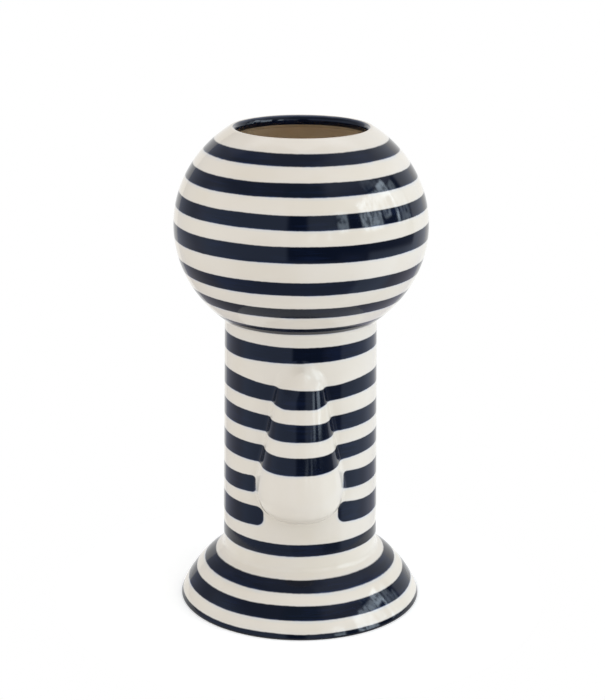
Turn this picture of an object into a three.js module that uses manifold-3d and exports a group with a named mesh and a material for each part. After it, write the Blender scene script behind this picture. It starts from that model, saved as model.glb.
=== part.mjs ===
// Striped earthenware vase: a globe with an open mouth on a tall column, a nose in relief on the
// front of the column, and a bell-shaped foot. The clay sections are luted together with slip.
// Millimetres, +Z up, front towards -Y. The origin is on the axis, at the surface it stands on.

import * as THREE from "three";
import { mergeVertices } from "three/addons/utils/BufferGeometryUtils.js";
import Module from "manifold-3d";

const wasm = await Module();
wasm.setup();

// Body, from the table up
const WALL = 7; // square to the surface, everywhere
const FOOT_RADIUS = 81.5; // of the bell, at the table
const FOOT_HEIGHT = 38.6; // table to the foot of the column
const COLUMN_FOOT_RADIUS = 52;
const COLUMN_NECK_RADIUS = 50;
const COLUMN_HEIGHT = 157.4; // foot of the column to where the globe's outline meets it
const GLOBE_RADIUS = 82.7;
const GLOBE_HALF_HEIGHT = 76.8; // a little less than the radius: the globe is flattened
const MOUTH_RADIUS = 40.1; // clear opening

// Roundings and joints
const SHOULDER_SLOPE = THREE.MathUtils.degToRad(51.8); // of the bell below the column, off vertical
const HEM_SLOPE = THREE.MathUtils.degToRad(19.3); // of the bell at the table, off vertical
const SHOULDER_FILLET = 5;
const NECK_FILLET = 4;
const LIP_ROUND = 2.6;
const HEM_ROUND = 1.8;
const LIP_LENGTH = 8; // clay coil of the lip, along the wall
const SLIP_LAYER = 0.3; // left by the slip round the lip, the nose and the floor

// Floor, pressed up from below against a ledge in the bell
const FLOOR_THICKNESS = 7;
const FLOOR_RECESS = 3; // underside of the floor above the table
const FLOOR_LEDGE = 3; // how far the ledge covers the rim of the floor

// Nose, from its bridge at the top to its tip. Widths and depths are before the ends are rounded
const NOSE_RISE = 33.5; // lower end above the foot of the column
const NOSE_LENGTH = 103.5;
const BRIDGE_HALF_WIDTH = 12.5;
const TIP_HALF_WIDTH = 32.5;
const BRIDGE_DEPTH = 4.1; // in front of the column
const TIP_DEPTH = 28.6;
const RIDGE_BOW = 2.8; // the ridge's middle in front of a straight line
const BRIDGE_ROUND = 13; // rounded length of the two ends, seen from the front
const TIP_ROUND = 29;
const BRIDGE_LEDGE = 6; // length over which the bridge comes out of the column
const BRIDGE_SQUARENESS = 2; // exponent of an end's outline: 2 is an ellipse, more is squarer
const TIP_SQUARENESS = 2.6;
const BRIDGE_FULLNESS = 2.4; // exponent of the section: 2 is an ellipse, 1 a wedge
const TIP_FULLNESS = 2.15;

// Fineness of the faceted surfaces
const TURN_STEPS = 64;
const GLOBE_STEPS = 16;
const BELL_STEPS = 7;
const ROUND_STEPS = 3;
const NOSE_RINGS = 22;
const NOSE_RING_STEPS = 18;

const GLAZE = { color: 0xded6c8, roughness: 0.12, metalness: 0 };
const BAND_GLAZE = { color: 0x1d2440, roughness: 0.12, metalness: 0 };
const BARE_CLAY = { color: 0xcbbfa9, roughness: 0.85, metalness: 0 };

// Places that several pieces share
const neckHeight = FOOT_HEIGHT + COLUMN_HEIGHT;
const globeCentre = neckHeight + GLOBE_HALF_HEIGHT * Math.sqrt(1 - (COLUMN_NECK_RADIUS / GLOBE_RADIUS) ** 2);
const columnFootBore = COLUMN_FOOT_RADIUS - WALL;
const columnNeckBore = COLUMN_NECK_RADIUS - WALL;
const mouthAngle = Math.acos(MOUTH_RADIUS / (GLOBE_RADIUS - WALL));
const lipSeatAngle = mouthAngle - LIP_LENGTH / GLOBE_RADIUS;
const noseBottom = FOOT_HEIGHT + NOSE_RISE;

function point(radius, height) {
  return new THREE.Vector2(radius, height);
}

function towards(from, to, distance) {
  return to.clone().sub(from).setLength(distance).add(from);
}

// A point of the globe's section, `depth` inside its outer surface.
function onGlobe(angle, depth = 0) {
  const across = (GLOBE_RADIUS - depth) * Math.cos(angle);
  return point(across, globeCentre + (GLOBE_HALF_HEIGHT - depth) * Math.sin(angle));
}

function globeArc(from, to, depth, steps) {
  return Array.from({ length: steps + 1 }, (_, i) => onGlobe(from + ((to - from) * i) / steps, depth));
}

function arc(centre, radius, from, to, steps) {
  const turn = (i) => from + ((to - from) * i) / steps;
  const reach = (angle) => point(Math.cos(angle), Math.sin(angle)).multiplyScalar(radius);
  return Array.from({ length: steps + 1 }, (_, i) => reach(turn(i)).add(centre));
}

// A corner rounded off between two points that lie on its sides.
function rounded(before, corner, after, steps = ROUND_STEPS) {
  return new THREE.QuadraticBezierCurve(before, corner, after).getPoints(steps);
}

function turned(outline, closed = true) {
  const points = closed ? [...outline, outline[0]] : outline;
  const geometry = new THREE.LatheGeometry(points, TURN_STEPS);
  geometry.rotateX(Math.PI / 2);
  return geometry;
}

// The crease under the globe, rounded: where a circle touches both the column and the globe.
function neckFillet() {
  let [low, high] = [-Math.PI / 2, 0];
  for (let i = 0; i < 50; i += 1) {
    const middle = (low + high) / 2;
    if (neckCircle(middle).x < COLUMN_NECK_RADIUS + NECK_FILLET) low = middle;
    else high = middle;
  }
  return { angle: low, centre: neckCircle(low) };
}

// Centre of the circle that touches the globe from outside at `angle`.
function neckCircle(angle) {
  const outward = point(Math.cos(angle) / GLOBE_RADIUS, Math.sin(angle) / GLOBE_HALF_HEIGHT);
  return outward.setLength(NECK_FILLET).add(onGlobe(angle));
}

const neck = neckFillet();
const neckSeam = neck.centre.y;

function lip() {
  const corner = onGlobe(mouthAngle);
  const innerCorner = onGlobe(mouthAngle, WALL);
  const outerSide = globeArc(lipSeatAngle, mouthAngle - LIP_ROUND / GLOBE_RADIUS, 0, ROUND_STEPS);
  const innerSide = globeArc(mouthAngle - LIP_ROUND / GLOBE_RADIUS, lipSeatAngle, WALL, ROUND_STEPS);
  return turned([
    ...outerSide,
    ...rounded(outerSide.at(-1), corner, towards(corner, innerCorner, LIP_ROUND)).slice(1),
    ...rounded(towards(innerCorner, corner, LIP_ROUND), innerCorner, innerSide[0]).slice(0, -1),
    ...innerSide,
  ]);
}

function globe() {
  const rim = lipSeatAngle - SLIP_LAYER / GLOBE_RADIUS;
  const boreAngle = -Math.acos(columnNeckBore / (GLOBE_RADIUS - WALL));
  const touch = onGlobe(neck.angle).sub(neck.centre).angle();
  return turned([
    ...arc(neck.centre, NECK_FILLET, Math.PI, touch, ROUND_STEPS),
    ...globeArc(neck.angle, 0, 0, GLOBE_STEPS / 2).slice(1),
    ...globeArc(0, rim, 0, GLOBE_STEPS / 2).slice(1),
    ...globeArc(rim, boreAngle, WALL, GLOBE_STEPS),
    point(columnNeckBore, neckSeam),
  ]);
}

function column() {
  return turned([
    point(COLUMN_FOOT_RADIUS, FOOT_HEIGHT),
    point(COLUMN_NECK_RADIUS, neckSeam),
    point(columnNeckBore, neckSeam),
    point(columnFootBore, FOOT_HEIGHT),
  ]);
}

// The bell's section from the column down, `depth` inside its outer surface: a hollow fillet, then
// two straight lines at the shoulder's and the hem's slopes, joined by one arc that touches both.
function bellCurve(depth) {
  const fillet = SHOULDER_FILLET + depth;
  const filletCentre = point(COLUMN_FOOT_RADIUS + SHOULDER_FILLET, FOOT_HEIGHT);
  const hollow = arc(filletCentre, fillet, Math.PI, Math.PI + SHOULDER_SLOPE, ROUND_STEPS);
  const down = point(Math.sin(SHOULDER_SLOPE), -Math.cos(SHOULDER_SLOPE));
  const hem = point(Math.sin(HEM_SLOPE), -Math.cos(HEM_SLOPE));
  const outward = point(Math.cos(HEM_SLOPE), Math.sin(HEM_SLOPE));
  const start = hollow.at(-1);
  const end = point(FOOT_RADIUS, 0).addScaledVector(outward, -depth);
  const span = end.clone().sub(start);
  const crossing = down.cross(hem);
  const upper = span.cross(hem) / crossing;
  const lower = down.cross(span) / crossing;
  const tangent = Math.min(upper, lower);
  const bulge = tangent / Math.tan((SHOULDER_SLOPE - HEM_SLOPE) / 2);
  const from = start.clone().addScaledVector(down, upper - tangent);
  const centre = point(-Math.cos(SHOULDER_SLOPE), -Math.sin(SHOULDER_SLOPE)).multiplyScalar(bulge).add(from);
  return [...hollow, ...arc(centre, bulge, SHOULDER_SLOPE, HEM_SLOPE, BELL_STEPS), end];
}

const ledgeHeight = FLOOR_RECESS + FLOOR_THICKNESS;
const ledgeInnerRadius = radiusAt(bellCurve(WALL), ledgeHeight);
const floorSeatRadius = ledgeInnerRadius + FLOOR_LEDGE;

// Radius at which a section that runs downwards passes `height`.
function radiusAt(curve, height) {
  const i = curve.findIndex((p) => p.y <= height);
  const [above, below] = [curve[i - 1], curve[i]];
  return THREE.MathUtils.mapLinear(height, above.y, below.y, above.x, below.x);
}

function bell() {
  const outer = bellCurve(0).filter((p) => p.y > HEM_ROUND);
  const hemTop = point(radiusAt(bellCurve(0), HEM_ROUND), HEM_ROUND);
  const inner = bellCurve(WALL).filter((p) => p.y > ledgeHeight);
  return turned([
    point(floorSeatRadius, ledgeHeight),
    point(floorSeatRadius, 0),
    ...rounded(point(FOOT_RADIUS - HEM_ROUND, 0), point(FOOT_RADIUS, 0), hemTop),
    ...outer.reverse(),
    ...inner,
    point(ledgeInnerRadius, ledgeHeight),
  ]);
}

function floorDisc() {
  const radius = floorSeatRadius - SLIP_LAYER;
  const section = [point(0, FLOOR_RECESS), point(radius, FLOOR_RECESS), point(radius, ledgeHeight)];
  return turned([...section, point(0, ledgeHeight)], false);
}

function columnRadiusAt(height) {
  return THREE.MathUtils.mapLinear(height, FOOT_HEIGHT, neckSeam, COLUMN_FOOT_RADIUS, COLUMN_NECK_RADIUS);
}

// One section of the nose: an arch over the column, closed by a flat back within its wall.
function noseRing(height) {
  const fromTip = height - noseBottom;
  const fromBridge = NOSE_LENGTH - fromTip;
  const down = fromBridge / NOSE_LENGTH;
  const tip = rounding(fromTip, TIP_ROUND, TIP_SQUARENESS);
  const bridge = rounding(fromBridge, BRIDGE_ROUND, BRIDGE_SQUARENESS);
  const ledge = rounding(fromBridge, BRIDGE_LEDGE, BRIDGE_SQUARENESS);
  const bow = 4 * RIDGE_BOW * down * (1 - down);
  const halfWidth = THREE.MathUtils.lerp(BRIDGE_HALF_WIDTH, TIP_HALF_WIDTH, down) * Math.min(tip, bridge);
  const depth = (THREE.MathUtils.lerp(BRIDGE_DEPTH, TIP_DEPTH, down) + bow) * Math.min(tip, ledge);
  const fullness = THREE.MathUtils.lerp(BRIDGE_FULLNESS, TIP_FULLNESS, down);
  const surface = columnRadiusAt(height);
  const side = Math.sqrt(surface ** 2 - halfWidth ** 2);
  const ridge = surface + depth;
  const arch = Array.from({ length: NOSE_RING_STEPS + 1 }, (_, i) => {
    const turn = Math.PI * (i / NOSE_RING_STEPS - 0.5);
    const across = Math.sign(turn) * Math.abs(Math.sin(turn)) ** (2 / fullness) * halfWidth;
    const forward = side + (ridge - side) * Math.abs(Math.cos(turn)) ** (2 / fullness);
    return new THREE.Vector3(across, -forward, height);
  });
  const back = side - WALL;
  return [...arch, new THREE.Vector3(halfWidth, -back, height), new THREE.Vector3(-halfWidth, -back, height)];
}

// Grows from 0 to 1 over the rounded length of an end, as a quarter of a squared ellipse.
function rounding(distance, length, squareness) {
  const left = THREE.MathUtils.clamp(1 - distance / length, 0, 1);
  return (1 - left ** squareness) ** (1 / squareness);
}

// Closed mesh through rings of equally many points, each ring above the last.
function lofted(rings) {
  const count = rings[0].length;
  const positions = rings.flat().flatMap((p) => [p.x, p.y, p.z]);
  const index = [];
  for (let r = 0; r + 1 < rings.length; r += 1) {
    for (let i = 0; i < count; i += 1) {
      const [a, b] = [r * count + i, r * count + ((i + 1) % count)];
      index.push(a, b, b + count, a, b + count, a + count);
    }
  }
  const top = (rings.length - 1) * count;
  for (let i = 1; i + 1 < count; i += 1) {
    index.push(0, i + 1, i, top, top + i, top + i + 1);
  }
  const geometry = new THREE.BufferGeometry();
  geometry.setAttribute("position", new THREE.Float32BufferAttribute(positions, 3));
  geometry.setIndex(index);
  return geometry;
}

function solid(geometry) {
  const bare = geometry.clone();
  bare.deleteAttribute("normal");
  bare.deleteAttribute("uv");
  const merged = mergeVertices(bare, 1e-4);
  const vertProperties = Float32Array.from(merged.attributes.position.array);
  const triVerts = Uint32Array.from(merged.index.array);
  return new wasm.Manifold(new wasm.Mesh({ numProp: 3, vertProperties, triVerts }));
}

function geometryOf(manifold) {
  const { vertProperties, triVerts } = manifold.getMesh();
  const geometry = new THREE.BufferGeometry();
  geometry.setAttribute("position", new THREE.BufferAttribute(vertProperties, 3));
  geometry.setIndex(new THREE.BufferAttribute(triVerts, 1));
  geometry.computeVertexNormals();
  return geometry;
}

// The nose sits on the column, with the slip's thickness between them.
function nose() {
  const spread = (i) => (1 - Math.cos((Math.PI * (i + 0.35)) / (NOSE_RINGS + 0.7))) / 2;
  const heights = Array.from({ length: NOSE_RINGS + 1 }, (_, i) => noseBottom + NOSE_LENGTH * spread(i));
  const seat = turned(
    [
      point(0, FOOT_HEIGHT),
      point(COLUMN_FOOT_RADIUS + SLIP_LAYER, FOOT_HEIGHT),
      point(COLUMN_NECK_RADIUS + SLIP_LAYER, neckSeam),
      point(0, neckSeam),
    ],
    false,
  );
  return geometryOf(solid(lofted(heights.map(noseRing))).subtract(solid(seat)));
}

function piece(name, geometry, finish) {
  const mesh = new THREE.Mesh(geometry, new THREE.MeshStandardMaterial(finish));
  mesh.name = name;
  return mesh;
}

const vase = new THREE.Group();
vase.name = "striped_vase";
vase.add(
  piece("mouth_lip", lip(), BAND_GLAZE),
  piece("globe", globe(), GLAZE),
  piece("column", column(), GLAZE),
  piece("nose", nose(), GLAZE),
  piece("foot_bell", bell(), GLAZE),
  piece("floor_disc", floorDisc(), BARE_CLAY),
);

export default vase;
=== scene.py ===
"""A striped earthenware vase: a globe with an open mouth on a column with a nose in relief, over a bell foot.

Metres, +Z up, the front towards -Y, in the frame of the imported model.
"""

import logging
import math
from collections.abc import Callable, Iterable
from dataclasses import dataclass, field
from enum import Enum, IntEnum

import bmesh
import bpy
from mathutils import Matrix, Vector


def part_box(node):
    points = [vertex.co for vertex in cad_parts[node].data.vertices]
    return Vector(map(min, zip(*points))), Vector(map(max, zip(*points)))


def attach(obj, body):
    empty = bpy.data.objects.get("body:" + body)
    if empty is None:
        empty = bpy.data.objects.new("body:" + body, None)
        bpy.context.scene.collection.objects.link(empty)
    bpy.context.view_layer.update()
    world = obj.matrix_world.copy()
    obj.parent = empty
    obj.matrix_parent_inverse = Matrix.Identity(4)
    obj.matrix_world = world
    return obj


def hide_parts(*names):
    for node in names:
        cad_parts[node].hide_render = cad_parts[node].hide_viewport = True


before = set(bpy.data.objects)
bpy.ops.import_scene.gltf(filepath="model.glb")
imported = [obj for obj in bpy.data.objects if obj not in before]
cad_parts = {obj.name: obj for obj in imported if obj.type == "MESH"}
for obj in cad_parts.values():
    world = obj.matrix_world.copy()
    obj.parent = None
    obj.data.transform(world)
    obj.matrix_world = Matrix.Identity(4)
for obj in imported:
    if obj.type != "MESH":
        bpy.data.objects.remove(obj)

log = logging.getLogger("striped_vase")

MM = 0.001  # in metres
FAR = 1.0  # in metres: a stop that no band reaches
SAME_PLACE = 1e-6  # in metres, between doubles
TURN_STEPS = 192  # facets once round the axis
SHARP_ANGLE = math.radians(38)  # from which an edge is shaded sharp
TINY = 1e-9  # keeps a divisor from 0
BODY = "root"
CREASE_LIGHT = "painted_crease_light"  # the nose's attribute that says where painted light lifts the shade in the slip's crease

Colour = tuple[float, float, float]
Span = tuple[float, float]
Socket = bpy.types.NodeSocket
Value = float | Colour | Socket

WHITE = (1.0, 1.0, 1.0)


class Skin(IntEnum):
    """What covers a face of the clay, and its material slot on every turned piece."""

    GLAZED = 0
    INSIDE = 1
    BARE = 2


class Slot(Enum):
    """Names of material slots, which each piece keeps but nothing here reads."""

    CREAM = "cream_glaze"
    NAVY = "navy_glaze"
    CLAY = "bare_clay"


class Finish(Enum):
    """The vase's finishes, by the names of their materials."""

    LIP = "lip_glaze"
    GLOBE = "globe_glaze"
    COLUMN = "column_glaze"
    NOSE = "nose_glaze"
    BELL = "bell_glaze"
    INSIDE = "inner_glaze"
    BARE = "bare_clay"


@dataclass(frozen=True)
class Grain:
    """A noise: how fine and how stretched it is, and the span of its values that becomes 0 to 1, if not all."""

    scale: float
    detail: float = 2.0
    rough: float = 0.5
    stretch: Colour | None = None
    span: Span | None = None


class Graph:
    """Writes a node tree as nested calls."""

    def __init__(self, tree: bpy.types.NodeTree) -> None:
        """Starts from an empty tree.

        Args:
            tree: The node tree to fill.
        """
        self.tree = tree
        tree.nodes.clear()

    def add(self, kind: str, inputs: dict[int | str, Value] | None = None, **settings: object) -> bpy.types.Node:
        """Adds a node, sets its options, and links or sets its inputs.

        Args:
            kind: The node's type, without the prefix that all shader nodes share.
            inputs: Values or sockets for the node's inputs, by their name or number.
            **settings: The node's own options.

        Returns:
            The new node.
        """
        node = self.tree.nodes.new("ShaderNode" + kind)
        for name, option in settings.items():
            setattr(node, name, option)
        for key, value in (inputs or {}).items():
            socket = node.inputs[key]
            if isinstance(value, Socket):
                self.tree.links.new(value, socket)
            elif isinstance(value, tuple) and socket.type == "RGBA":
                socket.default_value = (*value, 1.0)
            else:
                socket.default_value = value
        return node

    def math(self, operation: str, *values: Value) -> Socket:
        """Returns the result of a Math node."""
        return self.add("Math", dict(enumerate(values)), operation=operation).outputs[0]

    def plus(self, first: Value, second: Value) -> Socket:
        """Returns a sum."""
        return self.math("ADD", first, second)

    def minus(self, first: Value, second: Value) -> Socket:
        """Returns a difference."""
        return self.math("SUBTRACT", first, second)

    def times(self, first: Value, second: Value) -> Socket:
        """Returns a product."""
        return self.math("MULTIPLY", first, second)

    def line(self, value: Value, slope: Value, start: Value) -> Socket:
        """Returns a value times a slope, from a start."""
        return self.math("MULTIPLY_ADD", value, slope, start)

    def smooth(self, value: Value, low: float, high: float) -> Socket:
        """Returns 0 below low, 1 above high, and a smooth step between them."""
        inputs = {0: value, 1: low, 2: high, 3: 0.0, 4: 1.0}
        return self.add("MapRange", inputs, interpolation_type="SMOOTHSTEP").outputs[0]

    def spread(self, value: Value, low: float, high: float) -> Socket:
        """Returns a value from 0 to 1 spread over the range from low to high."""
        return self.add("MapRange", {0: value, 1: 0.0, 2: 1.0, 3: low, 4: high}).outputs[0]

    def mix(self, factor: Value, first: Value, second: Value) -> Socket:
        """Returns a colour between two colours."""
        return self.add("Mix", {0: factor, 6: first, 7: second}, data_type="RGBA").outputs[2]

    def grain(self, place: Value, grain: Grain) -> Socket:
        """Adds a noise.

        Args:
            place: The place at which it is read.
            grain: Its settings.

        Returns:
            Its value, from 0 to 1.
        """
        if grain.stretch:
            place = self.add("VectorMath", {0: place, 1: grain.stretch}, operation="MULTIPLY").outputs[0]
        inputs = {"Vector": place, "Scale": grain.scale, "Detail": grain.detail, "Roughness": grain.rough}
        value = self.add("TexNoise", inputs).outputs[0]
        return self.smooth(value, *grain.span) if grain.span else value

    def centred(self, place: Value, grain: Grain) -> Socket:
        """Returns a noise's value, from -0.5 to 0.5."""
        return self.minus(self.grain(place, grain), 0.5)

    def patchy(self, amount: Value, patches: Value, least: float, more: float) -> Socket:
        """Returns an amount times its least share, and more of it in the patches."""
        return self.times(amount, self.line(patches, more, least))

    def object_place(self) -> Socket:
        """Returns the place on the piece, in metres."""
        return self.add("TexCoord").outputs["Object"]

    def parts(self, place: Value) -> tuple[Socket, ...]:
        """Returns the three parts of a vector."""
        return tuple(self.add("SeparateXYZ", {0: place}).outputs)

    def from_axis(self, x: Value, y: Value) -> Socket:
        """Returns the distance from the vase's axis."""
        return self.math("SQRT", self.plus(self.math("POWER", x, 2.0), self.math("POWER", y, 2.0)))

    def left_of_one(self, value: Value) -> Socket:
        """Returns what a value leaves of 1."""
        return self.minus(1.0, value)

    def bump(self, height: Value, depth: float, strength: float = 1.0) -> Socket:
        """Returns the normal of a surface with a relief of some depth."""
        return self.add("Bump", {"Strength": strength, "Distance": depth, "Height": height}).outputs[0]

    def link(self, source: bpy.types.Node, sink: bpy.types.Node) -> None:
        """Links a node's first output to another node's first input."""
        self.tree.links.new(source.outputs[0], sink.inputs[0])


@dataclass(frozen=True)
class Band:
    """One painted band round the vase.

    Its edges are heights on the axis. The leans say how they rise to the right, the dips how they sag beside the nose
    and on its ridge, and the stops where the band ends at the front, with rounded corners.
    """

    upper: float
    lower: float
    upper_lean: float = 0.0
    lower_lean: float = 0.0
    left_stop: float = FAR
    right_stop: float = -FAR
    corner: float = 0.0
    upper_dip: float = 0.0
    lower_dip: float = 0.0
    ridge_dip: float = 0.0

    @property
    def middle(self) -> float:
        """Height of the band's middle on the axis."""
        return (self.upper + self.lower) / 2

    @property
    def half(self) -> float:
        """Half of the band's width on the axis."""
        return (self.upper - self.lower) / 2


GLOBE_BANDS = (
    Band(313.8 * MM, 307.1 * MM),
    Band(298.4 * MM, 290.3 * MM),
    Band(280.5 * MM, 271.4 * MM),
    Band(261.8 * MM, 251.2 * MM),
    Band(238.8 * MM, 229.7 * MM),
    Band(220.3 * MM, 212.8 * MM),
    Band(203.6 * MM, 197.7 * MM),
)
COLUMN_BANDS = (
    Band(188.4 * MM, 178.0 * MM, -0.008, 0.023),
    Band(164.8 * MM, 153.1 * MM, -0.012, 0.011, upper_dip=2.4 * MM, lower_dip=0.9 * MM, ridge_dip=1.5 * MM),
    Band(142.6 * MM, 131.4 * MM, -0.010, 0.005, upper_dip=0.6 * MM, lower_dip=0.3 * MM),
    Band(121.7 * MM, 110.4 * MM, 0.009, 0.032),
    Band(99.0 * MM, 87.4 * MM, 0.040, 0.036, -28.9 * MM, FAR, 2.6 * MM, -2.2 * MM, -2.0 * MM),
    Band(99.0 * MM, 87.4 * MM, 0.040, 0.036, -FAR, 28.1 * MM, 2.6 * MM, -3.9 * MM, -3.2 * MM),
    Band(78.2 * MM, 64.6 * MM, 0.016, 0.025, -23.8 * MM, FAR, 5.2 * MM, -0.9 * MM, -1.2 * MM),
    Band(78.2 * MM, 64.6 * MM, 0.016, 0.025, -FAR, 24.7 * MM, 5.2 * MM, -4.6 * MM, -3.1 * MM),
    Band(54.4 * MM, 46.2 * MM, 0.0, 0.006),
)
BELL_BANDS = (
    Band(32.1 * MM, 25.7 * MM),
    Band(19.5 * MM, 11.5 * MM),
    Band(4.0 * MM, -4.0 * MM),
)


class BandMeasure:
    """Node group that measures how far a point is outside one painted band, and how near its lower edge."""

    INPUTS = (
        "Across", "Depth", "Height", "Beside", "Ridge", "Middle", "Middle lean", "Middle dip", "Half", "Half lean",
        "Half dip", "Left stop", "Right stop", "Corner", "Ridge dip",
    )

    def __init__(self) -> None:
        """Builds the group once, for every striped finish."""
        self.tree = bpy.data.node_groups.new("painted_band", "ShaderNodeTree")
        for name in self.INPUTS:
            self.tree.interface.new_socket(name=name, in_out="INPUT", socket_type="NodeSocketFloat")
        for name in ("Distance", "Below"):
            self.tree.interface.new_socket(name=name, in_out="OUTPUT", socket_type="NodeSocketFloat")
        graph = Graph(self.tree)
        source = self.tree.nodes.new("NodeGroupInput").outputs
        edges = []
        for name in ("Middle", "Half"):
            leant = graph.line(source["Across"], source[name + " lean"], source[name])
            edges.append(graph.minus(leant, graph.times(source["Beside"], source[name + " dip"])))
        lowered = graph.times(graph.times(source["Ridge"], source["Ridge dip"]), 0.5)
        middle = graph.minus(edges[0], lowered)
        half = graph.plus(edges[1], lowered)
        rise = graph.minus(source["Height"], middle)
        core = graph.minus(half, source["Corner"])
        outside = graph.minus(graph.math("ABSOLUTE", rise), core)
        left = graph.minus(source["Left stop"], source["Across"])
        right = graph.minus(source["Across"], source["Right stop"])
        behind = graph.math("GREATER_THAN", source["Depth"], 0.0)
        reach = graph.plus(graph.math("MAXIMUM", left, right), behind)
        past = graph.minus(source["Corner"], reach)
        legs = [graph.math("POWER", graph.math("MAXIMUM", leg, 0.0), 2.0) for leg in (outside, past)]
        round_part = graph.math("SQRT", graph.plus(*legs))
        flat_part = graph.math("MINIMUM", graph.math("MAXIMUM", outside, past), 0.0)
        distance = graph.minus(graph.plus(round_part, flat_part), source["Corner"])
        sink = self.tree.nodes.new("NodeGroupOutput").inputs
        self.tree.links.new(distance, sink["Distance"])
        self.tree.links.new(graph.math("LESS_THAN", rise, 0.0), sink["Below"])

    def measure(self, graph: Graph, place: tuple[Value, ...], band: Band) -> bpy.types.Node:
        """Adds the group for one band.

        Args:
            graph: The material's graph.
            place: The point's place across, in depth and in height, and how close it is beside the nose and to its
                ridge.
            band: The band to measure from.

        Returns:
            The group's node, with the outputs Distance and Below.
        """
        node = graph.add("Group", node_tree=self.tree)
        middle = (band.middle, (band.upper_lean + band.lower_lean) / 2, (band.upper_dip + band.lower_dip) / 2)
        half = (band.half, (band.upper_lean - band.lower_lean) / 2, (band.upper_dip - band.lower_dip) / 2)
        stops = (band.left_stop, band.right_stop, band.corner, band.ridge_dip)
        for name, value in zip(self.INPUTS, (*place, *middle, *half, *stops)):
            if isinstance(value, Socket):
                graph.tree.links.new(value, node.inputs[name])
            else:
                node.inputs[name].default_value = value
        return node


def new_material(name: str) -> tuple[bpy.types.Material, Graph, bpy.types.Node]:
    """Makes a material with an output node.

    Args:
        name: The finish's name.

    Returns:
        The material, its graph and its output node.
    """
    material = bpy.data.materials.new(name)
    material.use_nodes = True
    graph = Graph(material.node_tree)
    return material, graph, graph.add("OutputMaterial")


@dataclass(frozen=True)
class GlossyGlaze:
    """Clear glaze over slip, with the tones and the gloss that the other glazes share."""

    cream: Colour = (0.735, 0.675, 0.600)
    cream_thin: Colour = (0.712, 0.648, 0.562)
    navy: Colour = (0.0015, 0.0036, 0.0115)
    navy_thin: Colour = (0.0030, 0.0066, 0.0220)
    cobalt: Colour = (0.020, 0.060, 0.200)
    stain: Colour = (0.560, 0.595, 0.655)
    ior: float = 1.5
    gloss: float = 0.25
    smoothest: float = 0.05
    dullest: float = 0.10
    clouds: Grain = Grain(24.0, 3.0, span=(0.42, 0.70))
    specks: Grain = Grain(900.0, 1.0, span=(0.70, 0.78))
    speck_share: float = 0.10
    streaks: Grain = Grain(42.0, 3.0, 0.6, (1.0, 1.0, 14.0))
    puddles: Grain = Grain(30.0)
    thin_span: Span = (0.22, 0.42)
    polish: Grain = Grain(70.0, 3.0)
    sag: Grain = Grain(55.0, 1.0, stretch=(1.0, 1.0, 0.6))
    peel: Grain = Grain(260.0, 1.0)
    peel_share: float = 0.10
    wave_depth: float = 0.06 * MM

    def cream_tone(self, graph: Graph, place: Value) -> Socket:
        """Returns the cream slip's colour, which is warmer where the glaze lies thin."""
        tone = graph.mix(graph.grain(place, self.clouds), self.cream, self.cream_thin)
        return graph.mix(graph.times(graph.grain(place, self.specks), self.speck_share), tone, self.cream_thin)

    def navy_tone(self, graph: Graph, place: Value) -> Socket:
        """Returns the navy's colour, streaked along the brush's way round the vase."""
        uneven = graph.times(graph.grain(place, self.streaks), graph.grain(place, self.puddles))
        return graph.mix(graph.smooth(uneven, *self.thin_span), self.navy, self.navy_thin)

    def surface(self, graph: Graph, place: Value, colour: Value) -> bpy.types.Node:
        """Adds the glaze's shader.

        Args:
            graph: The material's graph.
            place: The place on the piece.
            colour: The colour under the glaze.

        Returns:
            The shader node.
        """
        swell = graph.line(graph.grain(place, self.peel), self.peel_share, graph.grain(place, self.sag))
        inputs = {
            "Base Color": colour,
            "Roughness": graph.spread(graph.grain(place, self.polish), self.smoothest, self.dullest),
            "IOR": self.ior,
            "Specular IOR Level": self.gloss,
            "Normal": graph.bump(swell, self.wave_depth),
        }
        return graph.add("BsdfPrincipled", inputs)


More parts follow.
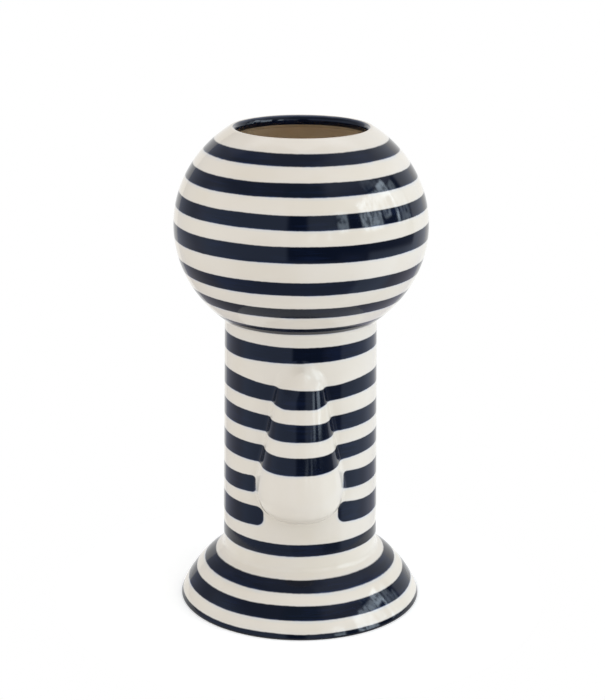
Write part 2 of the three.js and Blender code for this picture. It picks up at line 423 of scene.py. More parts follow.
@dataclass(frozen=True)
class StripedGlaze(GlossyGlaze):
    """Cream slip with bands painted by hand in navy, whose pigment runs a little at the edges.

    The spans are distances from the nose's middle. Of the two shares, the first is the least, and patches add the
    second.
    """

    name: str = "striped_glaze"
    bands: tuple[Band, ...] = ()
    edge: float = 0.36 * MM
    run: float = 2.2 * MM
    thinning: float = 0.9 * MM
    hand_wave: float = 0.55 * MM
    waves: Grain = Grain(21.0, 1.0, stretch=(1.0, 1.0, 2.2))
    bristle: float = 0.16 * MM
    hairs: Grain = Grain(330.0)
    cheek_span: Span = (4.0 * MM, 15.0 * MM)
    side_span: Span = (17.0 * MM, 48.0 * MM)
    ridge_span: Span = (9.0 * MM, 17.0 * MM)
    dip_on_ridge: float = 0.8
    run_above: float = 0.35
    patches: Grain = Grain(85.0, span=(0.35, 0.65))
    stain_shares: Span = (0.24, 0.32)
    rim_shares: Span = (0.08, 0.34)
    # Painted light: the nose's glaze can mix in a paler tone where the slip's crease beside the bulb is shaded, to lift
    # that shade.
    crease_lit: bool = False
    crease_light: Colour = (0.930, 0.895, 0.835)

    def brushed(self, graph: Graph, place: Value, height: Value) -> Socket:
        """Moves a height by the wave of the hand and by the brush's bristles.

        Args:
            graph: The material's graph.
            place: The place on the piece.
            height: The place's height.

        Returns:
            The height at which the brush passed there.
        """
        for grain, reach in ((self.waves, self.hand_wave), (self.hairs, self.bristle)):
            height = graph.line(graph.centred(place, grain), reach * 2, height)
        return height

    def near_nose(self, graph: Graph, across: Value, depth: Value) -> tuple[Socket, ...]:
        """Measures how near a place is to the nose.

        Args:
            graph: The material's graph.
            across: How far the place is to the right.
            depth: How far it is to the back.

        Returns:
            How close the place is beside the nose and how close to its ridge, each from 0 to 1.
        """
        aside, front = graph.math("ABSOLUTE", across), graph.math("LESS_THAN", depth, 0.0)
        cheek = graph.line(graph.smooth(aside, *self.cheek_span), 1.0 - self.dip_on_ridge, self.dip_on_ridge)
        beside = graph.math("MAXIMUM", graph.minus(cheek, graph.smooth(aside, *self.side_span)), 0.0)
        ridge = graph.left_of_one(graph.smooth(aside, *self.ridge_span))
        return graph.times(beside, front), graph.times(ridge, front)

    def measured(self, graph: Graph, point: tuple[Value, ...], measure: BandMeasure) -> tuple[Value, ...]:
        """Measures a point against every band.

        Args:
            graph: The material's graph.
            point: The point, as the measure takes it.
            measure: The node group that measures from a band.

        Returns:
            How far the point is outside the nearest band, how much pigment has run there, and how near it is to a
            lower edge from inside a band.
        """
        nearest: tuple[Value, ...] = (FAR, 0.0, 0.0)
        for band in self.bands:
            distance, below = measure.measure(graph, point, band).outputs
            near = graph.left_of_one(graph.smooth(distance, 0.0, self.run))
            run = graph.times(near, graph.line(below, 1.0 - self.run_above, self.run_above))
            rim = graph.times(graph.smooth(distance, -self.thinning, 0.0), graph.times(near, below))
            choices = zip(("MINIMUM", "MAXIMUM", "MAXIMUM"), nearest, (distance, run, rim))
            nearest = tuple(graph.math(*choice) for choice in choices)
        return nearest

    def material(self, measure: BandMeasure) -> bpy.types.Material:
        """Makes the material.

        Args:
            measure: The node group that measures from a band.

        Returns:
            The material.
        """
        material, graph, output = new_material(self.name)
        place = graph.object_place()
        across, depth, height = graph.parts(place)
        point = (across, depth, self.brushed(graph, place, height), *self.near_nose(graph, across, depth))
        distance, run, rim = self.measured(graph, point, measure)
        painted = graph.left_of_one(graph.smooth(distance, -self.edge, self.edge))
        patches = graph.grain(place, self.patches)
        cream = self.cream_tone(graph, place)
        # Painted light: a paler tone lifts the shade in the slip's crease, where the nose's attribute says.
        if self.crease_lit:
            cream = graph.mix(graph.add("Attribute", attribute_name=CREASE_LIGHT).outputs["Fac"], cream, self.crease_light)
        cream = graph.mix(graph.patchy(run, patches, *self.stain_shares), cream, self.stain)
        blue = graph.patchy(rim, patches, *self.rim_shares)
        navy = graph.mix(blue, self.navy_tone(graph, place), self.cobalt)
        graph.link(self.surface(graph, place, graph.mix(painted, cream, navy)), output)
        return material


@dataclass(frozen=True)
class LipGlaze(GlossyGlaze):
    """The mouth's finish: cream outside, navy on the cut face, and the clay's glaze inside.

    The navy turns a paler blue at its outer edge: partly where the glaze breaks over the crest, partly a painted
    highlight along it.
    """

    name: str = Finish.LIP.value
    crest_height: float = 0.0
    crest_radius: float = 0.0
    cut_angle: float = 0.0
    paint_start: float = 0.9 * MM
    paint_end: float = 2.9 * MM
    soft_start: float = 0.25 * MM
    soft_end: float = 0.3 * MM
    brush: Grain = Grain(60.0)
    brush_inward: float = 0.7 * MM
    brush_down: float = 0.4 * MM
    # The crest's paler blue fades over this width. It is partly the glaze breaking thin and partly a painted highlight.
    thinning: float = 2.2 * MM
    patches: Grain = Grain(120.0, stretch=(1.0, 1.0, 3.0), span=(0.30, 0.62))
    crest_sheen_shares: Span = (0.45, 0.55)
    broken_and_highlit: Colour = (0.062, 0.074, 0.112)
    inside: Colour = (0.680, 0.565, 0.420)

    def from_crest(self, graph: Graph, place: Value) -> tuple[Socket, Socket]:
        """Measures how far a place is from the lip's crest, as an unsteady brush would.

        Args:
            graph: The material's graph.
            place: The place on the piece.

        Returns:
            The distance inward along the cut face, and the distance down along the wall.
        """
        x, y, z = graph.parts(place)
        brush = graph.centred(place, self.brush)
        radial, upward = math.cos(self.cut_angle), math.sin(self.cut_angle)
        from_radius = graph.minus(self.crest_radius, graph.from_axis(x, y))
        from_height = graph.minus(self.crest_height, z)
        inward = graph.line(from_radius, radial, graph.times(from_height, upward))
        down = graph.minus(graph.times(from_height, radial), graph.times(from_radius, upward))
        return graph.line(brush, self.brush_inward, inward), graph.line(brush, self.brush_down, down)

    def material(self) -> bpy.types.Material:
        """Makes the material.

        Returns:
            The material.
        """
        material, graph, output = new_material(self.name)
        place = graph.object_place()
        inward, down = self.from_crest(graph, place)
        past_crest = graph.smooth(inward, self.paint_start - self.soft_start, self.paint_start + self.soft_start)
        within = graph.smooth(down, self.paint_end - self.soft_end, self.paint_end + self.soft_end)
        # Paler blue along the crest: partly the glaze breaking thin, partly a painted highlight.
        thin = graph.left_of_one(graph.smooth(inward, self.paint_start, self.paint_start + self.thinning))
        thin = graph.patchy(thin, graph.grain(place, self.patches), *self.crest_sheen_shares)
        navy = graph.mix(thin, self.navy_tone(graph, place), self.broken_and_highlit)
        painted = graph.mix(past_crest, self.cream_tone(graph, place), navy)
        inner = graph.times(within, past_crest)
        graph.link(self.surface(graph, place, graph.mix(inner, painted, self.inside)), output)
        return material


@dataclass(frozen=True)
class InnerGlaze:
    """Thin clear glaze poured inside, over buff clay that the turning has left with fine rings."""

    name: str = Finish.INSIDE.value
    buff: Colour = (0.850, 0.720, 0.540)
    dark: Colour = (0.790, 0.650, 0.475)
    clouds: Grain = Grain(26.0, 3.0, 0.6)
    rings: Grain = Grain(620.0, stretch=(0.12, 0.12, 1.0))
    ring_share: float = 0.35
    tone_span: Span = (0.35, 0.65)
    ring_depth: float = 0.1 * MM
    ring_strength: float = 0.4
    roughness: Span = (0.30, 0.50)

    def material(self) -> bpy.types.Material:
        """Makes the material.

        Returns:
            The material.
        """
        material, graph, output = new_material(self.name)
        place = graph.object_place()
        cloud, rings = graph.grain(place, self.clouds), graph.grain(place, self.rings)
        tone = graph.line(rings, self.ring_share, graph.times(cloud, 1.0 - self.ring_share))
        inputs = {
            "Base Color": graph.mix(graph.smooth(tone, *self.tone_span), self.dark, self.buff),
            "Roughness": graph.spread(cloud, *self.roughness),
            "Normal": graph.bump(rings, self.ring_depth, self.ring_strength),
        }
        graph.link(graph.add("BsdfPrincipled", inputs), output)
        return material


@dataclass(frozen=True)
class BareClay:
    """Fired clay without glaze, wiped with a sponge: matt, grainy and specked."""

    name: str = Finish.BARE.value
    clay: Colour = (0.600, 0.520, 0.400)
    shade: Colour = (0.480, 0.390, 0.280)
    grog: Colour = (0.250, 0.180, 0.120)
    clouds: Grain = Grain(38.0, 4.0, 0.6)
    grains: Grain = Grain(1500.0, 3.0, 0.7)
    specks: Grain = Grain(700.0, 1.0, span=(0.68, 0.74))
    speck_share: float = 0.6
    wipes: float = 2600.0
    wipe_tone: float = 0.06
    wipe_relief: float = 0.25
    tone_span: Span = (0.3, 0.7)
    grain_depth: float = 0.12 * MM
    grain_strength: float = 0.6
    roughness: Span = (0.78, 0.92)

    def material(self) -> bpy.types.Material:
        """Makes the material.

        Returns:
            The material.
        """
        material, graph, output = new_material(self.name)
        place = graph.object_place()
        x, y, _ = graph.parts(place)
        wipe = graph.math("SINE", graph.times(graph.from_axis(x, y), self.wipes))
        cloud, grains = graph.grain(place, self.clouds), graph.grain(place, self.grains)
        tone = graph.line(wipe, self.wipe_tone, cloud)
        colour = graph.mix(graph.smooth(tone, *self.tone_span), self.shade, self.clay)
        speck = graph.times(graph.grain(place, self.specks), self.speck_share)
        relief = graph.line(wipe, self.wipe_relief, grains)
        inputs = {
            "Base Color": graph.mix(speck, colour, self.grog),
            "Roughness": graph.spread(cloud, *self.roughness),
            "Normal": graph.bump(relief, self.grain_depth, self.grain_strength),
        }
        graph.link(graph.add("BsdfPrincipled", inputs), output)
        return material


def halved(low: float, high: float, is_low: Callable[[float], bool], rounds: int = 50) -> float:
    """Halves a range until it closes on the value where a test turns.

    Args:
        low: The range's start, where the test holds.
        high: The range's end, where it doesn't.
        is_low: The test.
        rounds: How many times the range is halved.

    Returns:
        The closest value found where the test still holds.
    """
    for _ in range(rounds):
        middle = (low + high) / 2
        if is_low(middle):
            low = middle
        else:
            high = middle
    return low


def add_object(name: str, mesh: bmesh.types.BMesh, materials: Iterable[bpy.types.Material]) -> bpy.types.Object:
    """Puts a finished mesh into the scene, at the origin.

    Args:
        name: The object's name.
        mesh: The mesh, which is freed.
        materials: The materials of its slots.

    Returns:
        The object.
    """
    data = bpy.data.meshes.new(name)
    for material in materials:
        data.materials.append(material)
    mesh.to_mesh(data)
    mesh.free()
    made = bpy.data.objects.new(name, data)
    bpy.context.scene.collection.objects.link(made)
    return made


class Section:
    """Half of a cross-section, drawn point by point in the XZ plane and then turned once round the axis."""

    def __init__(self) -> None:
        """Starts with nothing drawn."""
        self.mesh = bmesh.new()
        self.first: bmesh.types.BMVert | None = None
        self.tip: bmesh.types.BMVert | None = None
        self.corners: list[tuple[bmesh.types.BMVert, float, int]] = []

    def to(self, radius: float, height: float, rounding: float = 0.0, steps: int = 8) -> "Section":
        """Draws a straight line to a point.

        Args:
            radius: The point's distance from the axis.
            height: The point's height.
            rounding: How far back from the point its corner is rounded off.
            steps: Facets of the rounding.

        Returns:
            The section itself.
        """
        if self.tip is None:
            self.tip = self.first = self.mesh.verts.new((0.0, 0.0, 0.0))
        else:
            self.tip = bmesh.ops.extrude_vert_indiv(self.mesh, verts=[self.tip])["verts"][0]
        shift = Vector((radius, 0.0, height)) - self.tip.co
        bmesh.ops.translate(self.mesh, verts=[self.tip], vec=shift)
        if rounding:
            self.corners.append((self.tip, rounding, steps))
        return self

    def arc(self, centre: tuple[float, float], across: float, up: float, start: float, end: float,
            steps: int) -> "Section":
        """Draws an elliptical arc, as a circular one that is then scaled in height.

        Args:
            centre: The ellipse's centre, as a distance from the axis and a height.
            across: The ellipse's half width.
            up: The ellipse's half height.
            start: The angle where the arc starts, from 0 outwards to a quarter turn upwards.
            end: The angle where it ends.
            steps: Facets of the arc.

        Returns:
            The section itself.
        """
        middle = Vector((centre[0], 0.0, centre[1]))
        self.to(centre[0] + across * math.cos(start), centre[1] + across * math.sin(start))
        drawn = set(self.mesh.verts) - {self.tip}
        made = bmesh.ops.spin(self.mesh, geom=[self.tip], cent=middle, axis=(0.0, -1.0, 0.0),
                              angle=end - start, steps=steps)
        self.tip = next(part for part in made["geom_last"] if isinstance(part, bmesh.types.BMVert))
        swept = [vert for vert in self.mesh.verts if vert not in drawn]
        bmesh.ops.scale(self.mesh, verts=swept, vec=(1.0, 1.0, up / across), space=Matrix.Translation(-middle))
        return self

    def turned(self, closed: bool = True) -> bmesh.types.BMesh:
        """Rounds the corners and turns the section once round the axis.

        Args:
            closed: Whether the last point is joined to the first, which a section that ends on the axis isn't.

        Returns:
            The turned mesh, with its faces outwards.
        """
        if closed:
            self.mesh.edges.new((self.tip, self.first))
        for corner, rounding, steps in self.corners:
            bmesh.ops.bevel(self.mesh, geom=[corner], affect="VERTICES", offset=rounding, offset_type="OFFSET",
                            segments=steps, profile=0.5, material=-1, clamp_overlap=False)
        line = [*self.mesh.verts, *self.mesh.edges]
        bmesh.ops.spin(self.mesh, geom=line, cent=(0.0, 0.0, 0.0), axis=(0.0, 0.0, 1.0),
                       angle=math.tau, steps=TURN_STEPS, use_merge=True)
        bmesh.ops.remove_doubles(self.mesh, verts=self.mesh.verts, dist=SAME_PLACE)
        bmesh.ops.recalc_face_normals(self.mesh, faces=self.mesh.faces)
        return self.mesh


@dataclass(frozen=True)
class ClaySizes:
    """Sizes that several pieces share, as in the part's source."""

    wall: float = 7.0 * MM
    foot_radius: float = 81.5 * MM
    foot_height: float = 38.6 * MM
    column_foot: float = 52.0 * MM
    column_neck: float = 50.0 * MM
    column_height: float = 157.4 * MM
    globe_radius: float = 82.7 * MM
    globe_half_height: float = 76.8 * MM
    mouth_radius: float = 40.1 * MM
    neck_fillet: float = 4.0 * MM
    lip_length: float = 8.0 * MM
    floor_recess: float = 3.0 * MM
    floor_thickness: float = 7.0 * MM
    floor_ledge: float = 3.0 * MM

    @property
    def globe_centre(self) -> float:
        """Height of the globe's centre."""
        share = self.column_neck / self.globe_radius
        return self.foot_height + self.column_height + self.globe_half_height * math.sqrt(1 - share**2)

    @property
    def mouth_angle(self) -> float:
        """Angle of the mouth's cut in the globe's section."""
        return math.acos(self.mouth_radius / (self.globe_radius - self.wall))

    @property
    def lip_angle(self) -> float:
        """Angle of the seat between the globe and its lip."""
        return self.mouth_angle - self.lip_length / self.globe_radius

    @property
    def ledge_height(self) -> float:
        """Height of the ledge that the floor is pressed against."""
        return self.floor_recess + self.floor_thickness

    def globe_arc(self, depth: float = 0.0) -> tuple[tuple[float, float], float, float]:
        """Returns the centre, half width and half height of the globe's section, at a depth inside its surface."""
        return (0.0, self.globe_centre), self.globe_radius - depth, self.globe_half_height - depth

    def on_globe(self, angle: float, depth: float = 0.0) -> Vector:
        """Returns a point of the globe's section, at an angle and a depth inside its surface."""
        across = (self.globe_radius - depth) * math.cos(angle)
        return Vector((across, self.globe_centre + (self.globe_half_height - depth) * math.sin(angle)))

    def crease_centre(self, angle: float) -> Vector:
        """Returns the centre of the crease's circle, where it touches the globe at an angle."""
        outward = Vector((math.cos(angle) / self.globe_radius, math.sin(angle) / self.globe_half_height))
        return self.on_globe(angle) + outward.normalized() * self.neck_fillet

    def crease_angle(self) -> float:
        """Returns the angle at which a circle touches both the globe and the column."""
        reach = self.column_neck + self.neck_fillet
        return halved(-math.pi / 2, 0.0, lambda angle: self.crease_centre(angle).x < reach)


@dataclass
class TurnedPiece:
    """A piece turned round the axis. Its kinds draw their section and say what covers each face."""

    name: str
    node: str
    slot: Slot
    sizes: ClaySizes

    def form(self) -> bmesh.types.BMesh:
        """Returns the piece's mesh."""
        raise NotImplementedError

    def skin(self, centre: Vector, normal: Vector) -> Skin:
        """Returns what covers a face, from its centre and its normal."""
        outward = Vector((centre.x, centre.y, 0.0)).dot(normal)
        return Skin.GLAZED if outward > 0.0 else Skin.INSIDE

    def make(self, finishes: dict[Skin, bpy.types.Material]) -> bpy.types.Object:
        """Builds the piece, dresses it and puts it on its body.

        Args:
            finishes: The material of each kind of skin.

        Returns:
            The piece's object.
        """
        mesh = self.form()
        mesh.normal_update()
        for face in mesh.faces:
            face.smooth = True
            face.material_index = self.skin(face.calc_center_median(), face.normal)
        for edge in mesh.edges:
            edge.smooth = edge.calc_face_angle(0.0) < SHARP_ANGLE
        piece = add_object(self.name, mesh, [finishes[skin] for skin in Skin])
        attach(piece, BODY)
        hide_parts(self.node)
        return piece


@dataclass
class Lip(TurnedPiece):
    """The clay coil at the mouth: cut square to the wall, with its two corners rounded."""

    outer_rounding: float = 2.8 * MM
    inner_rounding: float = 3.9 * MM
    outer_steps: int = 12
    inner_steps: int = 14
    wall_steps: int = 6

    def form(self) -> bmesh.types.BMesh:
        """Draws and turns the lip's section.

        Returns:
            The lip's mesh.
        """
        sizes = self.sizes
        outer_end = sizes.mouth_angle - self.outer_rounding / sizes.globe_half_height
        inner_start = sizes.mouth_angle - self.inner_rounding / (sizes.globe_half_height - sizes.wall)
        section = Section().arc(*sizes.globe_arc(), sizes.lip_angle, outer_end, self.wall_steps)
        section.to(*sizes.on_globe(sizes.mouth_angle), self.outer_rounding, self.outer_steps)
        section.to(*sizes.on_globe(sizes.mouth_angle, sizes.wall), self.inner_rounding, self.inner_steps)
        section.arc(*sizes.globe_arc(sizes.wall), inner_start, sizes.lip_angle, self.wall_steps)
        return section.turned()

    def skin(self, centre: Vector, normal: Vector) -> Skin:
        """Returns the lip's own glaze for every face."""
        return Skin.GLAZED


@dataclass
class Globe(TurnedPiece):
    """The flattened globe, hollow, with a rounded crease where it meets the column."""

    steps: int = 108
    crease_steps: int = 16
    column_gap: float = 0.04
    globe_gap: float = 0.01

    def form(self) -> bmesh.types.BMesh:
        """Draws and turns the globe's section, whose crease stops short of both walls by a small angle.

        Returns:
            The globe's mesh.
        """
        sizes = self.sizes
        crease = sizes.crease_angle()
        middle = sizes.crease_centre(crease)
        touch = sizes.on_globe(crease) - middle
        bore = sizes.column_neck - sizes.wall
        inner_end = -math.acos(bore / (sizes.globe_radius - sizes.wall))
        fillet = (sizes.neck_fillet, sizes.neck_fillet)
        section = Section().to(sizes.column_neck, middle.y)
        start = math.pi - self.column_gap
        section.arc(tuple(middle), *fillet, start, math.atan2(touch.y, touch.x), self.crease_steps)
        section.arc(*sizes.globe_arc(), crease + self.globe_gap, sizes.lip_angle, self.steps)
        section.arc(*sizes.globe_arc(sizes.wall), sizes.lip_angle, inner_end, self.steps // 2)
        section.to(bore, middle.y)
        return section.turned()


@dataclass
class Column(TurnedPiece):
    """The open tube between the globe and the bell, a little wider at its foot."""

    rings: int = 24

    def form(self) -> bmesh.types.BMesh:
        """Draws and turns the column's section, between the heights of its solid.

        Returns:
            The column's mesh.
        """
        low, high = (corner.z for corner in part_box(self.node))
        foot, neck = self.sizes.column_foot, self.sizes.column_neck
        section = Section().to(foot, low)
        for ring in range(1, self.rings + 1):
            share = ring / self.rings
            section.to(foot + (neck - foot) * share, low + (high - low) * share)
        section.to(neck - self.sizes.wall, high)
        section.to(foot - self.sizes.wall, low)
        return section.turned()


@dataclass
class Bell(TurnedPiece):
    """The bell-shaped foot: hollow, with a rounded hem and a ledge inside for the floor."""

    shoulder_slope: float = math.radians(51.8)
    hem_slope: float = math.radians(19.3)
    fillet: float = 5.0 * MM
    hem: float = 1.8 * MM
    outer_steps: int = 40
    inner_steps: int = 24
    seat_gap: float = 0.3 * MM
    seat_reach: float = 0.5 * MM
    bare_below: float = -0.9

    def curve(self, depth: float) -> list[tuple[float, float, float]]:
        """Returns the corners of the bell's section from the column down, each with its rounding.

        Args:
            depth: How far inside the outer surface the section lies.

        Returns:
            Distance from the axis, height and rounding of each corner.
        """
        sizes = self.sizes
        down = Vector((math.sin(self.shoulder_slope), -math.cos(self.shoulder_slope)))
        hem = Vector((math.sin(self.hem_slope), -math.cos(self.hem_slope)))
        outward = Vector((math.cos(self.hem_slope), math.sin(self.hem_slope)))
        radius = self.fillet + depth
        tangent = radius * math.tan(self.shoulder_slope / 2)
        top = Vector((sizes.column_foot - depth, sizes.foot_height))
        corner = top - Vector((0.0, tangent))
        end = Vector((sizes.foot_radius, 0.0)) - outward * depth
        span = end - corner
        crossing = down.cross(hem)
        upper, lower = span.cross(hem) / crossing, down.cross(span) / crossing
        knee = corner + down * upper
        bulge = min(upper - tangent, lower)
        return [(*top, 0.0), (*corner, tangent), (*knee, bulge), (*end, 0.0)]

    def form(self) -> bmesh.types.BMesh:
        """Draws and turns the bell's section.

        Returns:
            The bell's mesh.
        """
        sizes = self.sizes
        ledge = sizes.ledge_height
        outer, inner = self.curve(0.0), self.curve(sizes.wall)
        seat = self.floor_seat()
        section = Section().to(seat, ledge)
        section.to(seat, 0.0)
        section.to(outer[-1][0], 0.0, rounding=self.hem)
        for radius, height, rounding in reversed(outer[:-1]):
            section.to(radius, height, rounding, self.outer_steps)
        for radius, height, rounding in inner[:-1]:
            section.to(radius, height, rounding, self.inner_steps)
        section.to(seat - sizes.floor_ledge, ledge)
        return section.turned()

    def floor_seat(self) -> float:
        """Returns the distance from the axis of the floor's seat."""
        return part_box("floor_disc")[1].x + self.seat_gap

    def skin(self, centre: Vector, normal: Vector) -> Skin:
        """Tells bare clay, under the foot and at the floor's seat, from glaze elsewhere.

        Args:
            centre: The face's centre.
            normal: Its normal.

        Returns:
            What covers the face.
        """
        radius = math.hypot(centre.x, centre.y)
        in_seat = centre.z < self.sizes.ledge_height and radius < self.floor_seat() + self.seat_reach
        if normal.z < self.bare_below or in_seat:
            return Skin.BARE
        return super().skin(centre, normal)


@dataclass
class Floor(TurnedPiece):
    """The clay floor that closes the foot, pressed up against the bell's ledge."""

    edge: float = 1.0 * MM
    edge_steps: int = 4
    glazed_above: float = 0.5

    def form(self) -> bmesh.types.BMesh:
        """Draws and turns the floor's section, between the corners of its solid.

        Returns:
            The floor's mesh.
        """
        low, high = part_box(self.node)
        section = Section().to(0.0, low.z)
        section.to(high.x, low.z, self.edge, self.edge_steps)
        section.to(high.x, high.z)
        section.to(0.0, high.z)
        return section.turned(closed=False)

    def skin(self, centre: Vector, normal: Vector) -> Skin:
        """Returns glaze on top of the floor and bare clay below."""
        return Skin.INSIDE if normal.z > self.glazed_above else Skin.BARE


@dataclass
class Nose(TurnedPiece):
    """The nose in relief: narrow at the bridge, broad and full at the tip, and luted to the column."""

    rise: float = 34.2 * MM
    length: float = 104.6 * MM
    bridge_width: float = 12.5 * MM
    tip_width: float = 32.7 * MM
    bridge_depth: float = 4.1 * MM
    tip_depth: float = 28.6 * MM
    ridge_bow: float = 2.8 * MM
    bridge_round: float = 13.0 * MM
    tip_round: float = 29.0 * MM
    bridge_squareness: float = 2.0
    tip_squareness: float = 2.6
    bridge_ledge: float = 6.0 * MM
    bridge_fullness: float = 2.4
    tip_fullness: float = 2.15
    ridge_share: float = 0.62
    ridge_shift: float = 1.5 * MM
    side_slip: float = 3.0 * MM
    bulb_slip: float = 6.5 * MM
    bridge_slip: float = 4.4 * MM
    left_run: float = 22.0 * MM
    right_run: float = 16.0 * MM
    tip_slip: float = 2.8 * MM
    skirt: float = 2.8 * MM
    bulb_skirt: float = 2.4 * MM
    bulb_middle: float = -0.5
    bulb_spread: float = 0.36
    # How strongly painted light lifts the shade of the slip's crease beside the bulb, and over how many rings.
    crease_light_share: float = 0.42
    crease_light_steps: int = 11
    root: float = 2.5 * MM
    sink: float = 0.2 * MM
    back_reaches: tuple[float, ...] = (0.0, 0.4, 0.8)
    back_margin: float = 0.020
    edge_margin: float = 0.015
    end_gap: float = 1e-6
    slip_search: Span = (0.3, 1.0)
    slip_rounds: int = 30
    points: int = 160
    slip_steps: int = 7
    arch_steps: int = 22
    smoothings: int = 6
    smoothing: float = 0.5

    def __post_init__(self) -> None:
        """Reads the column's height once."""
        self.column_low, self.column_high = (corner.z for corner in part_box("column"))

    @property
    def bottom(self) -> float:
        """Height of the nose's lower end."""
        return self.sizes.foot_height + self.rise

    @property
    def first_slip_ring(self) -> int:
        """Number of the first ring after those of the back and the sunk edge."""
        return len(self.back_reaches) + 2

    @staticmethod
    def rounded_end(distance: float, length: float, squareness: float) -> float:
        """Returns how far an end has swelled, from 0 at the end to 1 past its rounded length."""
        left = min(max(1.0 - distance / length, 0.0), 1.0)
        return (1.0 - left**squareness) ** (1.0 / squareness)

    def swell(self, height: float, bridge_length: float) -> float:
        """Works out how far the nose has swelled between its rounded ends.

        Args:
            height: The height.
            bridge_length: The length over which the bridge's end is rounded.

        Returns:
            The share of the full size at the height.
        """
        up = height - self.bottom
        bridge = self.rounded_end(self.length - up, bridge_length, self.bridge_squareness)
        return min(bridge, self.rounded_end(up, self.tip_round, self.tip_squareness))

    def down(self, height: float) -> float:
        """Returns 0 at the bridge and 1 at the tip."""
        return 1.0 - (height - self.bottom) / self.length

    def half_width(self, height: float) -> float:
        """Returns half of the nose's width at a height."""
        full = self.bridge_width + (self.tip_width - self.bridge_width) * self.down(height)
        return full * self.swell(height, self.bridge_round)

    def column_radius(self, height: float) -> float:
        """Returns the column's radius at a height."""
        share = (height - self.column_low) / (self.column_high - self.column_low)
        return self.sizes.column_foot + (self.sizes.column_neck - self.sizes.column_foot) * share

    def arch(self, across: float, height: float) -> float:
        """Works out how far the nose stands out of the column.

        Args:
            across: The place across the front.
            height: The place's height.

        Returns:
            The distance from the column's surface, towards the front.
        """
        radius, down = self.column_radius(height), self.down(height)
        half = self.half_width(height)
        fullness = self.bridge_fullness + (self.tip_fullness - self.bridge_fullness) * down
        ridge = self.bridge_depth + (self.tip_depth - self.bridge_depth) * down + 4 * self.ridge_bow * down * (1 - down)
        depth = ridge * self.swell(height, self.bridge_ledge)
        side = math.sqrt(radius**2 - half**2)
        shift = self.ridge_shift * self.swell(height, self.bridge_round)
        width = half - math.copysign(shift, across - shift)
        aside = min(abs(across - shift) / max(width, TINY), 1.0)
        full = side + (radius + depth - side) * (1.0 - aside**fullness) ** (1.0 / fullness)
        bare = math.sqrt(radius**2 - across**2)
        melted = self.melted(height, self.left_run if across < shift else self.right_run)
        soft = bare + depth * (1.0 + math.cos(math.pi * aside)) / 2
        return max(full + (soft - full) * melted - bare, 0.0)

    def melted(self, height: float, run: float) -> float:
        """Returns how far a shoulder of the bridge melts into the column: 1 at the top and 0 past its run."""
        share = min(max((self.bottom + self.length - height) / run, 0.0), 1.0)
        return 1.0 - share * share * (3.0 - 2.0 * share)

    def place(self, turn: float, reach: float) -> tuple[float, float]:
        """Maps a point of a disc onto the nose's outline, seen from the front.

        Args:
            turn: The point's angle, from 0 at the right to a quarter turn at the bridge.
            reach: 0 on the ridge, 1 on the outline and more outside it.

        Returns:
            The place across and the height.
        """
        middle = self.bottom + self.length / 2
        height = middle + self.length / 2 * math.sin(turn) * (1 - self.end_gap)
        across = math.copysign(self.half_width(height), math.cos(turn))
        ridge = middle + self.ridge_share * (height - middle)
        return reach * across, ridge + reach * (height - ridge)

    def point(self, turn: float, reach: float, rise: float | None = None) -> Vector:
        """Returns a point of the nose.

        Args:
            turn: The point's angle, as for place.
            reach: The point's reach, as for place.
            rise: How far the point stands out of the column, or nothing for a point of the arch.

        Returns:
            The point.
        """
        across, height = self.place(turn, reach)
        radius = self.column_radius(height)
        if rise is None:
            rise = self.arch(across, height)
        return Vector((across, -math.sqrt(radius**2 - across**2) - rise, height))

    def slip(self, turn: float) -> float:
        """Works out the width of the slip that fills the corner between the nose and the column.

        Args:
            turn: The angle of the place on the outline, as for place.

        Returns:
            The width.
        """
        upward = math.sin(turn)
        end = self.bridge_slip if upward > 0 else self.tip_slip
        width = self.side_slip + (end - self.side_slip) * abs(upward) ** 3
        return width + self.bulb_slip * self.beside_bulb(turn)

    def beside_bulb(self, turn: float) -> float:
        """Returns 1 beside the bulb and 0 away from it, by the height that the turn's sine gives."""
        return max(1.0 - ((math.sin(turn) - self.bulb_middle) / self.bulb_spread) ** 2, 0.0)

    def lines(self, turn: float) -> list[Vector]:
        """Returns one line of points over the nose, from its back to its ridge.

        Args:
            turn: The line's angle, as for place.

        Returns:
            The points: the back, the slip's rounded corner and the arch.
        """
        width = self.slip(turn)
        corner = self.point(turn, 1.0, 0.0)
        span = (corner - self.point(turn, 0.0, 0.0)).length
        skirt = self.skirt + (self.bulb_skirt - self.skirt) * self.beside_bulb(turn)
        outside = 1.0 + min(width, skirt) / span
        inside = halved(*self.slip_search, lambda reach: self.arch(*self.place(turn, reach)) > width, self.slip_rounds)
        start, end = self.point(turn, outside, 0.0), self.point(turn, inside)
        reaches = (*self.back_reaches, outside + self.back_margin)
        back = [self.point(turn, reach, -self.root) for reach in reaches]
        edge = [self.point(turn, outside + self.edge_margin, -self.sink)]
        rounded = []
        for step in range(self.slip_steps + 1):
            share = step / self.slip_steps
            rounded.append(start.lerp(corner, share).lerp(corner.lerp(end, share), share))
        arch = []
        for step in range(1, self.arch_steps + 1):
            share = math.sin(math.pi / 2 * (1.0 - step / self.arch_steps))
            arch.append(self.point(turn, inside * share))
        return back + edge + rounded + arch

